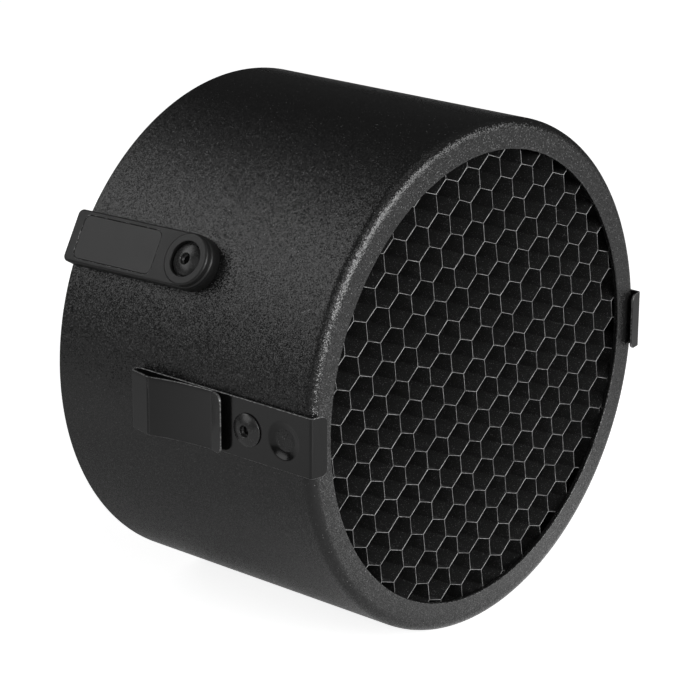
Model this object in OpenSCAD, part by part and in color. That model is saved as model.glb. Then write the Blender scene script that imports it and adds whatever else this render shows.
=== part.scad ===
// Honeycomb-grid snoot: a short black tube that holds a grid of hexagonal cells behind its
// turned-in lip, two sprung side clips and a moulded tab.
// Frame: the origin is the centre of the rear opening. The axis of the tube is Y, with the lip
// towards -Y, and the clips are on -X and +X. Millimetres.

/* [Barrel] */
// Outer diameter of the tube
barrel_d = 127; // [110:1:160]
// Length of the tube, from the lip's front face to the rear edge
barrel_l = 81; // [70:1:120]
// Sheet thickness of the tube and its lip
wall = 1.5; // [1.2:0.1:2.2]
// Width of the lip, from the outside of the tube to the aperture
lip_w = 7.5; // [5.5:0.1:15]
// Outside radius where the tube turns into the lip
lip_round = 2.6; // [2.4:0.1:4]
// Chamfer on both edges of the rear rim
rim_chamfer = 0.25; // [0.1:0.05:0.4]

/* [Honeycomb grid] */
// Distance between neighbouring cell centres, across the flats
cell_pitch = 8; // [6:0.1:12]
// Thickness of the cell walls
cell_wall = 0.28; // [0.2:0.02:0.6]
// Depth of the cells
grid_depth = 22; // [14:1:26]
// Turn of the cell rows, seen from the front
grid_turn = -19.6; // [-30:0.1:30]
// Sideways shift of the cell pattern
grid_shift_x = -1.5; // [-4:0.1:4]
// Upward shift of the cell pattern
grid_shift_z = 0.9; // [-4:0.1:4]
// Radial gap between the grid and the rounding inside the lip
grid_clearance = 0.1; // [0.05:0.05:0.5]
// Width of the notches in the grid's edge that clear the clip rivets
rivet_notch = 8.4; // [7:0.1:10]
// Gap between a notch's floor and the mandrel's head
notch_clearance = 0.5; // [0.2:0.1:1]

/* [Retaining ring] */
// Wire diameter of the split ring behind the grid
ring_wire_d = 2.4; // [1.6:0.1:3]
// Depth of the groove that the ring snaps into
ring_groove = 0.5; // [0.3:0.1:0.7]
// Opening between the ring's two ends, in degrees
ring_gap = 16; // [8:1:40]
// Gap between the ring and the grid, and between the ring and its groove
ring_clearance = 0.05; // [0.02:0.01:0.15]

/* [Side clips] */
// Thickness of the spring steel
strip_t = 0.55; // [0.4:0.05:0.8]
// Width of the strip
strip_w = 14.5; // [12:0.5:18]
// Gap between the strip and the tube
strip_clearance = 0.05; // [0.02:0.01:0.2]
// How far the strip's front bend stands in front of the lip
hook_reach = 1.15; // [1:0.05:2]
// Length of the hook over the lip
hook_l = 4.6; // [3.5:0.1:6]
// Forward lean of the hook, in degrees
hook_lean = 10; // [0:1:20]
// Inside radius of the hook's bend
hook_bend = 0.4; // [0.3:0.1:0.8]
// Radius of the corners of the hook and the leaf
corner_r = 1.8; // [1:0.1:3]
// Distance from the lip to the rivet
clip_rivet_u = 18.4; // [17:0.1:20]
// Distance from the lip to the pressed dimple
dimple_u = 7.3; // [6:0.1:7.5]
// Diameter of the dimple at the strip's face
dimple_d = 9; // [8:0.1:9]
// Diameter of the dimple's flat floor
dimple_floor_d = 3; // [2:0.1:6]
// Depth of the dimple
dimple_depth = 1.0; // [0.6:0.1:1.1]
// Radial clearance of the dimple in its hole in the tube
dimple_clearance = 0.1; // [0.05:0.05:0.3]
// Distance from the lip to the hairpin's centre
hairpin_u = 52.6; // [50:0.1:60]
// Outside radius of the hairpin
hairpin_r = 1.41; // [1.3:0.01:1.8]
// Running gap inside the hairpin and at the crest
spring_gap = 0.05; // [0.03:0.01:0.08]
// Rise of the short ramp behind the crest, in degrees
ramp_rise = 12; // [11:1:22]
// Height of the crest above the strip
crest_h = 3.5; // [3.2:0.1:4]
// Fall of the leaf just in front of the crest, in degrees
leaf_fall = 17.5; // [13:0.1:19]
// Height of the leaf's lowest point above the strip
leaf_low_h = 0.75; // [0.75:0.05:0.9]
// Length of the leaf's flared end
flare_l = 4.3; // [2:0.1:5]
// Flare of the leaf's end, in degrees
flare_rise = 20; // [4:1:24]

/* [Rivets] */
// Shank diameter
rivet_d = 4; // [3.6:0.1:4.2]
// Radial clearance of the shank in its holes
rivet_clearance = 0.05; // [0.03:0.01:0.15]
// Head diameter
head_d = 8.1; // [7.4:0.1:8.4]
// Height of the head
head_h = 1.5; // [1.2:0.1:1.8]
// Height of the straight edge of the head
head_edge = 0.45; // [0.2:0.05:0.7]
// Diameter of the hole in the head
head_bore_d = 2.7; // [2.4:0.1:3]
// Diameter of the upset tail
tail_d = 5.8; // [5:0.1:6.2]
// Length of the upset tail behind the sheet
tail_l = 3; // [2:0.1:3.2]
// Rounding of the upset tail
tail_round = 0.8; // [0.4:0.1:0.9]
// Gap between the tail and the bore that it bears on
tail_clearance = 0.04; // [0.02:0.01:0.1]
// Diameter of the mandrel stub
mandrel_d = 2.2; // [1.8:0.1:2.2]
// Radial clearance of the mandrel in the rivet
mandrel_clearance = 0.05; // [0.02:0.01:0.1]
// Diameter of the mandrel's head
mandrel_head_d = 3.7; // [3:0.1:4]
// Length of the mandrel's head
mandrel_head_l = 1.4; // [1:0.1:1.8]
// Depth of the mandrel's broken end below the top of the head
mandrel_sunk = 1.3; // [0.8:0.1:2]

/* [Name tab] */
// Angle of the tab round the tube, from +X towards +Z
tab_angle = 149.3; // [120:0.1:160]
// Turn of the tab on its rivet, in degrees
tab_turn = 1.5; // [0:0.1:3]
// Width of the tab
tab_w = 13.3; // [12:0.1:16]
// Distance from the lip to the tab's rivet
tab_rivet_u = 42.8; // [40:0.1:46]
// How far the tab reaches past the rear edge of the tube
tab_overhang = 0.6; // [0:0.1:3]
// Height of the tab's face above the tube
tab_h = 3.2; // [2.8:0.1:4]
// Rounding along the tab's edges
tab_edge_r = 0.6; // [0.3:0.1:1]
// Radius of the tab's two square corners
tab_corner_r = 1.5; // [1:0.1:3]
// Gap between the tab and the tube
tab_clearance = 0.05; // [0.02:0.01:0.2]
// Height of the boss round the rivet
boss_h = 1.5; // [1.2:0.1:2]
// Diameter of the boss
boss_d = 12.8; // [12:0.1:13]
// Diameter of the sunk seat of the rivet's head
seat_d = 8.7; // [8.6:0.1:9.4]
// Height of the rivet's head above the boss
head_proud = 0.2; // [0:0.1:0.6]
// Length of the label
label_l = 25.2; // [20:0.1:26]
// Width of the label
label_w = 10.8; // [9:0.1:11]
// Radius of the label's corners
label_corner_r = 1.7; // [1:0.1:3]
// Thickness of the label
label_t = 0.3; // [0.2:0.05:0.5]
// Depth of the label's face below the tab's face
label_sunk = 0.12; // [0.05:0.01:0.3]
// Gap round the label in its panel
label_gap = 0.12; // [0.05:0.01:0.3]
// Distance between the label and the rear end of the tab
label_end = 3; // [2:0.1:4]

/* [Hidden] */
$fn = 64;

coat_black = [0.09, 0.09, 0.09];
steel_black = [0.13, 0.13, 0.14];
moulded_black = [0.11, 0.11, 0.11];
label_black = [0.07, 0.07, 0.07];
bare_aluminium = [0.55, 0.55, 0.55];
wire_grey = [0.35, 0.35, 0.36];

barrel_r = barrel_d / 2;
bore_r = barrel_r - wall;
aperture_d = barrel_d - 2 * lip_w;
rim_r = (aperture_d + wall) / 2;
big = 2 * barrel_d;
eps = 0.01;

inner_round = lip_round - wall;
grid_r = bore_r - inner_round - grid_clearance;
grid_u = wall;
cell_r = (cell_pitch - cell_wall) / sqrt(3);
cell_side = cell_pitch / sqrt(3);
cell_rows = ceil(grid_r / cell_pitch) + 3;
column_step = cell_pitch * sqrt(3) / 2;

ring_r = bore_r + ring_groove - ring_wire_d / 2 - ring_clearance;
ring_u = grid_u + grid_depth + ring_wire_d / 2 + ring_clearance;

// Rivets: the tail bears on the bore, a half chord of its width away from the middle
tail_seat = sqrt(pow(bore_r, 2) - pow(tail_d / 2, 2)) - tail_clearance;
rivet_hole_r = rivet_d / 2 + rivet_clearance;
mandrel_hole_r = mandrel_d / 2 + mandrel_clearance;
cap_h = head_h - head_edge;
cap_r = (pow(head_d / 2, 2) + pow(cap_h, 2)) / (2 * cap_h);
grid_notch_r = tail_seat - tail_l - mandrel_head_l - notch_clearance;

// The clips are drawn in the plane of radius and distance u from the lip
strip_in = barrel_r + strip_clearance;
strip_out = strip_in + strip_t;
hook_r = hook_bend + strip_t;
hook_turn = 90 - hook_lean;
hook_corner = hook_r * tan(hook_turn / 2);
hook_centre = [strip_out - hook_r, hook_corner - hook_reach];
hook_start = hook_centre + (hook_r - strip_t / 2) * [cos(hook_turn), -sin(hook_turn)];
hook_edge = strip_out - hook_l * cos(hook_lean);
dimple_hole_r = dimple_d / 2 + dimple_clearance;

hairpin = [strip_in + hairpin_r, hairpin_u];
nose_r = hairpin_r - strip_t - spring_gap;
ramp_start = hairpin + (hairpin_r - strip_t / 2) * [cos(ramp_rise), sin(ramp_rise)];
crest_r = strip_out + crest_h - strip_t / 2;
ramp_l = (crest_r - ramp_start[0]) / sin(ramp_rise);
crest = ramp_start + ramp_l * [sin(ramp_rise), -cos(ramp_rise)];
// Radius of the leaf's outer face, which meets the crest at its angle and ends parallel to the strip
leaf_low = strip_out + leaf_low_h;
leaf_r = (crest_r - leaf_low + strip_t / 2 * cos(leaf_fall)) / (1 - cos(leaf_fall));
leaf_centre = [leaf_low + leaf_r, crest[1] - (leaf_r + strip_t / 2) * sin(leaf_fall)];
flare_start = [leaf_low - strip_t / 2, leaf_centre[1]];
leaf_edge_u = flare_start[1] - flare_l * cos(flare_rise);

tab_face = barrel_r + tab_h;
boss_face = tab_face + boss_h;
head_seat = boss_face + head_proud - head_h;
tab_y = tab_rivet_u - barrel_l;
tab_reach = tab_overhang - tab_y;
label_y = tab_reach - label_end - label_l / 2;
label_floor = tab_face - label_sunk - label_t;

// Turns a shape whose axis is Z, with its front at 0, onto the axis of the tube
module along_tube() {
    translate([0, -barrel_l, 0]) rotate([-90, 0, 0]) children();
}

// Moves a shape that is drawn at +X to an angle round the tube
module round_tube(angle) {
    rotate([0, -angle, 0]) children();
}

// Gives an outline in the plane of radius and u the width of the strip
module strip() {
    translate([0, -barrel_l, 0]) linear_extrude(strip_w, center = true) children();
}

// A cone or cylinder along a radius of the tube, at u from the lip
module radial(from, to, u, r_from, r_to) {
    translate([from, u - barrel_l, 0]) rotate([0, 90, 0])
        cylinder(h = to - from, r1 = r_from, r2 = r_to);
}

// Part of a flat ring between two angles less than 180 degrees apart
module arc_band(centre, r_in, r_out, from, to) {
    reach = 2 * r_out;
    middle = (to + from) / 2;
    tip = reach / cos((to - from) / 2);
    translate(centre) intersection() {
        difference() {
            circle(r_out);
            circle(r_in);
        }
        polygon([
            [0, 0],
            reach * [cos(from), sin(from)],
            tip * [cos(middle), sin(middle)],
            reach * [cos(to), sin(to)]
        ]);
    }
}

// Straight strip whose centre line leaves a point at an angle, and laps what it leaves by eps
module flat_band(start, angle, length) {
    translate(start) rotate(angle) translate([-eps, -strip_t / 2]) square([length + eps, strip_t]);
}

// Outline of a tongue with round corners at x = 0, centred on y
module tongue(length, w, r) {
    translate([r, -w / 2]) square([length - r, w]);
    translate([0, r - w / 2]) square([length, w - 2 * r]);
    for (side = [-1, 1]) translate([r, side * (w / 2 - r)]) circle(r);
}

// What has to go from a square end to leave a tongue
module tongue_waste(w, r) {
    difference() {
        translate([-w, -w]) square([w + r, 2 * w]);
        tongue(2 * w, w, r);
    }
}

module rounded_rectangle(length, w, r) {
    square([length - 2 * r, w], center = true);
    square([length, w - 2 * r], center = true);
    for (sx = [-1, 1], sy = [-1, 1])
        translate([sx * (length / 2 - r), sy * (w / 2 - r)]) circle(r);
}

// Half section of a disc: x is the radius, y the height, with a rounded top edge
module disc_section(r, low, high, edge) {
    translate([0, low]) square([r, high - edge - low]);
    translate([0, low]) square([r - edge, high - low]);
    translate([r - edge, high - edge]) circle(edge);
}

// Section of the tube: x is the radius and y the distance from the lip's front face
module barrel_section() {
    difference() {
        union() {
            translate([0, lip_round]) square([barrel_r, barrel_l - lip_round]);
            square([barrel_r - lip_round, lip_round + eps]);
            translate([barrel_r - lip_round, lip_round]) circle(lip_round);
        }
        translate([0, lip_round]) square([bore_r, barrel_l]);
        translate([0, wall]) square([bore_r - inner_round, barrel_l]);
        translate([bore_r - inner_round, lip_round]) circle(inner_round);
        translate([0, -1]) square([rim_r, barrel_l]);
        translate([ring_r, ring_u]) circle(ring_wire_d / 2 + ring_clearance);
        for (edge = [bore_r, barrel_r])
            translate([edge, barrel_l]) rotate(45) square(rim_chamfer * sqrt(2), center = true);
    }
    translate([rim_r, wall / 2]) circle(wall / 2);
}

module barrel() {
    color(coat_black) difference() {
        along_tube() rotate_extrude($fn = 180) barrel_section();
        for (angle = [0, 180]) round_tube(angle) {
            radial(bore_r - wall, barrel_r + wall, clip_rivet_u, rivet_hole_r, rivet_hole_r);
            radial(bore_r - wall, barrel_r + wall, dimple_u, dimple_hole_r, dimple_hole_r);
        }
        round_tube(tab_angle)
            radial(bore_r - wall, barrel_r + wall, tab_rivet_u, rivet_hole_r, rivet_hole_r);
    }
}

// A point of the honeycomb pattern, as seen on the disc
function on_disc(p) = [
    grid_shift_x + p[0] * cos(grid_turn) - p[1] * sin(grid_turn),
    grid_shift_z + p[0] * sin(grid_turn) + p[1] * cos(grid_turn)
];

// True for a wall whose two ends lie off the disc while its middle could still cut a flake from it
function is_loose(start, end) = norm(on_disc(start)) > grid_r && norm(on_disc(end)) > grid_r
    && norm(on_disc((start + end) / 2)) < grid_r + cell_wall;

// Cells of thin foil, cut to a disc, with two notches that clear the clips' rivet tails
module honeycomb_grid() {
    color(bare_aluminium) translate([0, grid_u + grid_depth - barrel_l, 0]) rotate([90, 0, 0])
        linear_extrude(grid_depth) difference() {
            circle(grid_r, $fn = 180);
            translate([grid_shift_x, grid_shift_z]) rotate(grid_turn)
                for (column = [-cell_rows:cell_rows], row = [-cell_rows:cell_rows]) {
                    x = column * column_step;
                    y = (row + (column % 2 == 0 ? 0 : 0.5)) * cell_pitch;
                    if (norm([x, y]) < grid_r + cell_pitch)
                        translate([x, y]) circle(cell_r, $fn = 6);
                    for (turn = [0, 60, 120])
                        if (is_loose([x, y] + cell_side * [cos(turn), sin(turn)],
                                     [x, y] + cell_side * [cos(turn + 60), sin(turn + 60)]))
                            translate([x, y]) rotate(turn + 30) translate([cell_pitch / 2, 0])
                                square([cell_wall + 2 * eps, cell_side - cell_wall], center = true);
                }
            for (side = [0, 180]) rotate(side)
                translate([grid_notch_r, -rivet_notch / 2]) square([big, rivet_notch]);
        }
}

module grid_retaining_ring() {
    color(wire_grey) along_tube() translate([0, 0, ring_u]) rotate([0, 0, 90 + ring_gap / 2])
        rotate_extrude(angle = 360 - ring_gap, $fn = 180) translate([ring_r, 0]) circle(ring_wire_d / 2);
}

// The strip on the tube: hook over the lip, dimple, rivet hole and a round nose in the hairpin
module clip_base() {
    rear_u = hairpin_u - spring_gap;
    color(steel_black) difference() {
        union() {
            strip() {
                translate([strip_in, hook_centre[1] - eps]) square([strip_t, rear_u - hook_centre[1] + eps]);
                arc_band(hook_centre, hook_bend, hook_r, -hook_turn, 0);
                flat_band(hook_start, 180 + hook_lean, hook_l - hook_corner);
                translate(hairpin) circle(nose_r);
                translate([strip_out - eps, rear_u - nose_r])
                    square([hairpin[0] - strip_out, nose_r]);
            }
            radial(strip_in - dimple_depth, strip_in + eps, dimple_u, dimple_floor_d / 2, dimple_d / 2);
        }
        radial(strip_out - dimple_depth, strip_out + eps, dimple_u, dimple_floor_d / 2, dimple_d / 2);
        radial(strip_in - 1, strip_out + 1, clip_rivet_u, rivet_hole_r, rivet_hole_r);
        translate([hook_edge, -barrel_l, 0]) rotate([90, 0, 0])
            linear_extrude(strip_w, center = true) tongue_waste(strip_w, corner_r);
    }
}

// The hairpin and the short ramp that rises to the crest
module clip_bend() {
    color(steel_black) strip() {
        arc_band(hairpin, hairpin_r - strip_t, hairpin_r, ramp_rise, 180);
        flat_band(ramp_start, ramp_rise - 90, ramp_l);
        translate(crest) circle(strip_t / 2);
    }
}

// The bowed leaf from the crest to its flared free end
module clip_leaf() {
    color(steel_black) difference() {
        strip() difference() {
            union() {
                arc_band(leaf_centre, leaf_r, leaf_r + strip_t, 180 - leaf_fall, 180);
                flat_band(flare_start, flare_rise - 90, flare_l);
                translate(flare_start) circle(strip_t / 2);
            }
            translate(crest) circle(strip_t / 2 + spring_gap);
        }
        translate([0, leaf_edge_u - barrel_l, 0]) rotate([0, 90, 0]) linear_extrude(big)
            rotate(90) tongue_waste(strip_w, corner_r);
    }
}

// Blind rivet along X: its head sits on x = 0 and its tail starts at -grip
module blind_rivet(grip) {
    color(steel_black) rotate([0, 90, 0]) rotate_extrude() difference() {
        union() {
            square([head_d / 2, head_edge]);
            intersection() {
                translate([0, head_h - cap_r]) circle(cap_r, $fn = 180);
                translate([0, eps]) square([head_d / 2, head_h]);
            }
            translate([0, -grip - eps]) square([rivet_d / 2, grip + 2 * eps]);
            translate([0, -grip - tail_l]) {
                disc_section(tail_d / 2, tail_l / 2, tail_l, tail_round);
                translate([0, tail_l]) mirror([0, 1]) disc_section(tail_d / 2, tail_l / 2 - eps, tail_l, tail_round);
            }
        }
        translate([0, -big]) square([mandrel_hole_r, 2 * big]);
        translate([0, head_h - mandrel_sunk]) square([head_bore_d / 2, head_h]);
        translate([-big, -big / 2]) square([big, big]);
    }
}

// What stays of the mandrel: a broken pin in the rivet, and its head behind the tail
module mandrel_stub(grip) {
    color(wire_grey) rotate([0, 90, 0]) translate([0, 0, -grip - tail_l]) rotate_extrude() {
        square([mandrel_d / 2, grip + tail_l + head_h - mandrel_sunk]);
        difference() {
            translate([0, -mandrel_head_l]) square([mandrel_head_d / 2, mandrel_head_l]);
            translate([mandrel_head_d / 2, -mandrel_head_l]) rotate(45) square(mandrel_head_l / 2, center = true);
        }
    }
}

module at_clip_rivet() {
    translate([strip_out, clip_rivet_u - barrel_l, 0]) children();
}

module at_tab() {
    round_tube(tab_angle) translate([0, tab_y, 0]) children();
}

module left() {
    mirror([1, 0, 0]) children();
}

// Moulded tab, drawn with its rivet at the origin and its square end towards +Y
module tab_block() {
    difference() {
        union() {
            rotate([0, 90, 0]) rotate_extrude() {
                disc_section(tab_w / 2, bore_r, tab_face, tab_edge_r);
                disc_section(boss_d / 2, bore_r, boss_face, tab_edge_r);
            }
            rotate([-90, 0, 0]) linear_extrude(tab_reach) intersection() {
                translate([bore_r, -tab_w / 2]) square([tab_face - bore_r, tab_w]);
                union() {
                    translate([bore_r - tab_edge_r, -tab_w / 2])
                        square([tab_face - bore_r, tab_w]);
                    translate([bore_r, tab_edge_r - tab_w / 2])
                        square([tab_face - bore_r, tab_w - 2 * tab_edge_r]);
                    for (side = [-1, 1])
                        translate([tab_face - tab_edge_r, side * (tab_w / 2 - tab_edge_r)])
                            circle(tab_edge_r);
                }
            }
        }
        translate([0, tab_reach, 0]) rotate([0, 90, 0]) linear_extrude(big)
            rotate(-90) tongue_waste(tab_w, tab_corner_r);
        translate([head_seat, 0, 0]) rotate([0, 90, 0]) cylinder(h = big, r = seat_d / 2);
        rotate([0, 90, 0]) cylinder(h = big, r = rivet_hole_r);
        translate([label_floor, label_y, 0]) rotate([0, 90, 0]) linear_extrude(big) rotate(90)
            rounded_rectangle(label_l + 2 * label_gap, label_w + 2 * label_gap, label_corner_r + label_gap);
    }
}

module name_tab() {
    color(moulded_black) round_tube(tab_angle) difference() {
        translate([0, tab_y, 0]) rotate([tab_turn, 0, 0]) tab_block();
        rotate([90, 0, 0]) cylinder(h = 2 * big, r = barrel_r + tab_clearance, center = true, $fn = 180);
    }
}

module tab_label() {
    color(label_black) at_tab() rotate([tab_turn, 0, 0]) translate([label_floor, label_y, 0])
        rotate([0, 90, 0]) linear_extrude(label_t) rotate(90)
            rounded_rectangle(label_l, label_w, label_corner_r);
}

barrel();
honeycomb_grid();
grid_retaining_ring();

left() clip_base();  // left_clip_base
left() clip_bend();  // left_clip_bend
left() clip_leaf();  // left_clip_leaf
left() at_clip_rivet() blind_rivet(strip_out - tail_seat);  // left_clip_rivet
left() at_clip_rivet() mandrel_stub(strip_out - tail_seat);  // left_rivet_mandrel

clip_base();  // right_clip_base
clip_bend();  // right_clip_bend
clip_leaf();  // right_clip_leaf
at_clip_rivet() blind_rivet(strip_out - tail_seat);  // right_clip_rivet
at_clip_rivet() mandrel_stub(strip_out - tail_seat);  // right_rivet_mandrel

name_tab();
tab_label();
at_tab() translate([head_seat, 0, 0]) blind_rivet(head_seat - tail_seat);  // tab_rivet
at_tab() translate([head_seat, 0, 0]) mandrel_stub(head_seat - tail_seat);  // tab_rivet_mandrel
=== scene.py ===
import math

import bmesh
import bpy
import numpy as np
from mathutils import Matrix, Vector


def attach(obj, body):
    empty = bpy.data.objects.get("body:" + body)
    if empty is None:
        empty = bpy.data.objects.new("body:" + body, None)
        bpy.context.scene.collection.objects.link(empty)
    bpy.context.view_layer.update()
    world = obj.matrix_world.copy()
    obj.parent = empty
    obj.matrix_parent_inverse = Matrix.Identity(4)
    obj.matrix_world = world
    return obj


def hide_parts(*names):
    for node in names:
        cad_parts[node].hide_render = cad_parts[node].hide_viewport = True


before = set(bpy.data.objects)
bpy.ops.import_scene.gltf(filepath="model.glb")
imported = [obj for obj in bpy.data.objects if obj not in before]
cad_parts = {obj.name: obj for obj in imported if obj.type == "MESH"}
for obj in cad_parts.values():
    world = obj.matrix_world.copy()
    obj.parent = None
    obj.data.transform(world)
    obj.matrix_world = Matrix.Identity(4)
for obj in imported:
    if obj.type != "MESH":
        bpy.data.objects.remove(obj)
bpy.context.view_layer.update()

# The tube: drawn from 1.5 mm sheet, 127 mm across and 81 mm long, with its front turned in to a
# flat lip. It is powder coated black with a fine grain, and a groove inside holds a wire ring.
TUBE_R, TUBE_L, SHEET = 63.5, 81.0, 1.5
BORE_R = TUBE_R - SHEET
APERTURE_R, LIP_ROUND, LIP_EDGE_R, RIM_ROUND = 56.0, 2.6, 0.4, 0.3
RING_U, GROOVE_DEPTH, GROOVE_ROUND = 24.75, 0.5, 0.15
GROOVE_HALF_FLOOR, GROOVE_HALF_MOUTH = 0.6, 1.1
GRAIN_SIZE, GRAIN_LEAN = 0.18, 0.42


def rounded_outline(corners, radii, steps=6, guard=0.03):
    """Closed outline whose corners are arcs of their own radii.

    A corner where the outline turns by t has its arc start r tan(t / 2) before it, and the arc
    is centre - r n cos a + r d sin a, with d the way in, n the inward normal and a from 0 to t.
    A guard point just before and after each arc keeps the shading of the flats flat.
    """
    corners, radii = np.asarray(corners, float), np.asarray(radii, float)[:, None]
    way_in = corners - np.roll(corners, 1, 0)
    way_in /= np.linalg.norm(way_in, axis=1, keepdims=True)
    way_out = np.roll(way_in, -1, 0)
    turn = np.arctan2(
        way_in[:, 0] * way_out[:, 1] - way_in[:, 1] * way_out[:, 0], (way_in * way_out).sum(1)
    )[:, None]
    inward = np.sign(turn) * np.stack([-way_in[:, 1], way_in[:, 0]], 1)
    start = corners - way_in * radii * np.abs(np.tan(turn / 2))
    end = corners + way_out * radii * np.abs(np.tan(turn / 2))
    centre = start + inward * radii
    angle = np.linspace(0, 1, steps + 1)[None, :, None] * np.abs(turn)[:, None]
    arc = centre[:, None] + radii[:, None] * (
        way_in[:, None] * np.sin(angle) - inward[:, None] * np.cos(angle)
    )
    before, after = (start - way_in * guard)[:, None], (end + way_out * guard)[:, None]
    return np.concatenate([before, arc, after], 1).reshape(-1, 2)


def surface(name, points, around=True, along=True, caps=False, edge=None):
    """Mesh over a grid of points in millimetres: rows run along it and columns run around it.

    Columns close on themselves if around, rows if along, and caps fills the first and last
    row. edge, one value a point, goes into the mesh as the attribute of that name. Points
    within 0.2 micrometres of each other become one, and all faces are turned outwards.
    """
    rows, cols = points.shape[:2]
    index = np.arange(rows * cols).reshape(rows, cols)
    low = index if along else index[:-1]
    high = np.roll(index, -1, 0) if along else index[1:]
    if around:
        quads = np.stack([low, np.roll(low, -1, 1), np.roll(high, -1, 1), high], -1)
    else:
        quads = np.stack([low[:, :-1], low[:, 1:], high[:, 1:], high[:, :-1]], -1)
    faces = quads.reshape(-1, 4).tolist()
    if caps:
        faces += [index[0, ::-1].tolist(), index[-1].tolist()]
    mesh = bpy.data.meshes.new(name)
    mesh.from_pydata((points.reshape(-1, 3) / 1000).tolist(), [], faces)
    if edge is not None:
        mesh.attributes.new("edge", "FLOAT", "POINT").data.foreach_set(
            "value", np.broadcast_to(edge, (rows, cols)).astype(np.float32).ravel()
        )
    work = bmesh.new()
    work.from_mesh(mesh)
    bmesh.ops.remove_doubles(work, verts=work.verts, dist=2e-7)
    bmesh.ops.dissolve_degenerate(work, edges=work.edges, dist=1e-7)
    bmesh.ops.recalc_face_normals(work, faces=work.faces)
    work.to_mesh(mesh)
    work.free()
    mesh.polygons.foreach_set("use_smooth", np.ones(len(mesh.polygons), bool))
    mesh.update()
    piece = bpy.data.objects.new(name, mesh)
    bpy.context.scene.collection.objects.link(piece)
    return piece


def turned(outline, steps):
    """Surface of revolution about the tube's axis: radius r and distance u behind the lip
    go to (r cos a, u - L, r sin a), with a round the full circle."""
    a = np.linspace(0, 2 * np.pi, steps, endpoint=False)[:, None]
    r, u = outline[:, 0][None], outline[:, 1][None]
    return np.stack([r * np.cos(a), u - TUBE_L + 0 * a, r * np.sin(a)], -1)


class Value:
    """A socket of a material that takes part in plain arithmetic: each operator adds a node."""

    def __init__(self, finish, socket):
        self.finish, self.socket = finish, socket

    def math(self, operation, *others):
        sockets = dict(enumerate([self, *others]))
        return self.finish.node("ShaderNodeMath", {"operation": operation}, sockets)

    def __add__(self, other):
        return self.math("ADD", other)

    def __mul__(self, other):
        return self.math("MULTIPLY", other)

    def __sub__(self, other):
        return self.math("SUBTRACT", other)

    def __rsub__(self, other):
        return self.finish.node(
            "ShaderNodeMath", {"operation": "SUBTRACT"}, {0: other, 1: self}
        )

    __radd__, __rmul__ = __add__, __mul__

    def ramp(self, low, high):
        """0 below low, 1 above high and a smooth step between."""
        return self.finish.node(
            "ShaderNodeMapRange",
            {"interpolation_type": "SMOOTHSTEP"},
            {"Value": self, "From Min": low, "From Max": high},
        )


class Finish:
    """A material. Its method node adds a node of any type, and set feeds its shader."""

    def __init__(self, name, **constants):
        self.material = bpy.data.materials.new(name)
        self.material.use_nodes = True
        self.tree = self.material.node_tree
        self.shader = self.tree.nodes["Principled BSDF"]
        for socket, value in constants.items():
            self.set(socket.replace("_", " "), value)

    def node(self, kind, settings=None, sockets=None, output=0):
        """Adds a node, with its settings first and then the value or link of its sockets."""
        made = self.tree.nodes.new(kind)
        for key, value in (settings or {}).items():
            setattr(made, key, value)
        for key, value in (sockets or {}).items():
            self.feed(made.inputs[key], value)
        return Value(self, made.outputs[output])

    def feed(self, socket, value):
        if isinstance(value, Value):
            self.tree.links.new(value.socket, socket)
        else:
            socket.default_value = value

    def set(self, name, value):
        self.feed(self.shader.inputs[name], value)

    def place(self):
        """The point on the piece, in millimetres."""
        point = self.node("ShaderNodeTexCoord", output="Object")
        return self.node(
            "ShaderNodeVectorMath", {"operation": "SCALE"}, {0: point, "Scale": 1000.0}
        )

    def noise(self, place, size, detail=2.0, roughness=0.5):
        """Noise from 0 to 1 whose lumps are about size millimetres across."""
        return self.node(
            "ShaderNodeTexNoise",
            {},
            {"Vector": place, "Scale": 1.0 / size, "Detail": detail, "Roughness": roughness},
        )

    def mix(self, amount, first, second):
        """Colour that goes from first to second with amount."""
        return self.node(
            "ShaderNodeMix",
            {"data_type": "RGBA"},
            {"Factor": amount, 6: first, 7: second},
            output=2,
        )

    def facets(self, place, size, tilt):
        """Normals of flat grains of a size in millimetres, each tilted its own way at random:
        n + tilt (c - 1/2), with c the grain's random point of the unit cube."""
        grain = self.node(
            "ShaderNodeTexVoronoi", {}, {"Vector": place, "Scale": 1.0 / size}, output="Color"
        )
        normal = self.node("ShaderNodeNewGeometry", output="Normal")
        lean = self.node(
            "ShaderNodeVectorMath", {"operation": "SUBTRACT"}, {0: grain, 1: (0.5, 0.5, 0.5)}
        )
        leaning = self.node(
            "ShaderNodeVectorMath",
            {"operation": "MULTIPLY_ADD"},
            {0: lean, 1: (tilt, tilt, tilt), 2: normal},
        )
        return self.node("ShaderNodeVectorMath", {"operation": "NORMALIZE"}, {0: leaning})

    def bump(self, height, millimetres):
        """Normals of a surface that height, from 0 to 1, raises by so many millimetres."""
        return self.node(
            "ShaderNodeBump", {}, {"Height": height, "Distance": millimetres / 1000}
        )


def grey(level):
    return (level, level, level, 1.0)


def finish_piece(piece, finish, body, slot, *nodes):
    """Gives a piece its material, its body and the solids that it stands for; slot is not used."""
    piece.data.materials.clear()
    piece.data.materials.append(finish.material)
    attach(piece, body)
    if nodes:
        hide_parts(*nodes)


def powder_coat():
    """Baked powder: grains that each lean their own way, and pale specks painted as glints."""
    coat = Finish("powder_coat", IOR=1.5)
    place = coat.place()
    # Painted glints: pale specks in the colour stand in for single grains catching the light.
    specks = coat.noise(place, 0.33, 0.0).ramp(0.78, 0.84)
    coat.set("Base Color", coat.mix(specks, grey(0.009), grey(0.12)))
    coat.set("Roughness", coat.noise(place, 0.5, 1.0) * 0.05 + 0.12)
    coat.set("Normal", coat.facets(place, GRAIN_SIZE, GRAIN_LEAN))
    return coat


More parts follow.
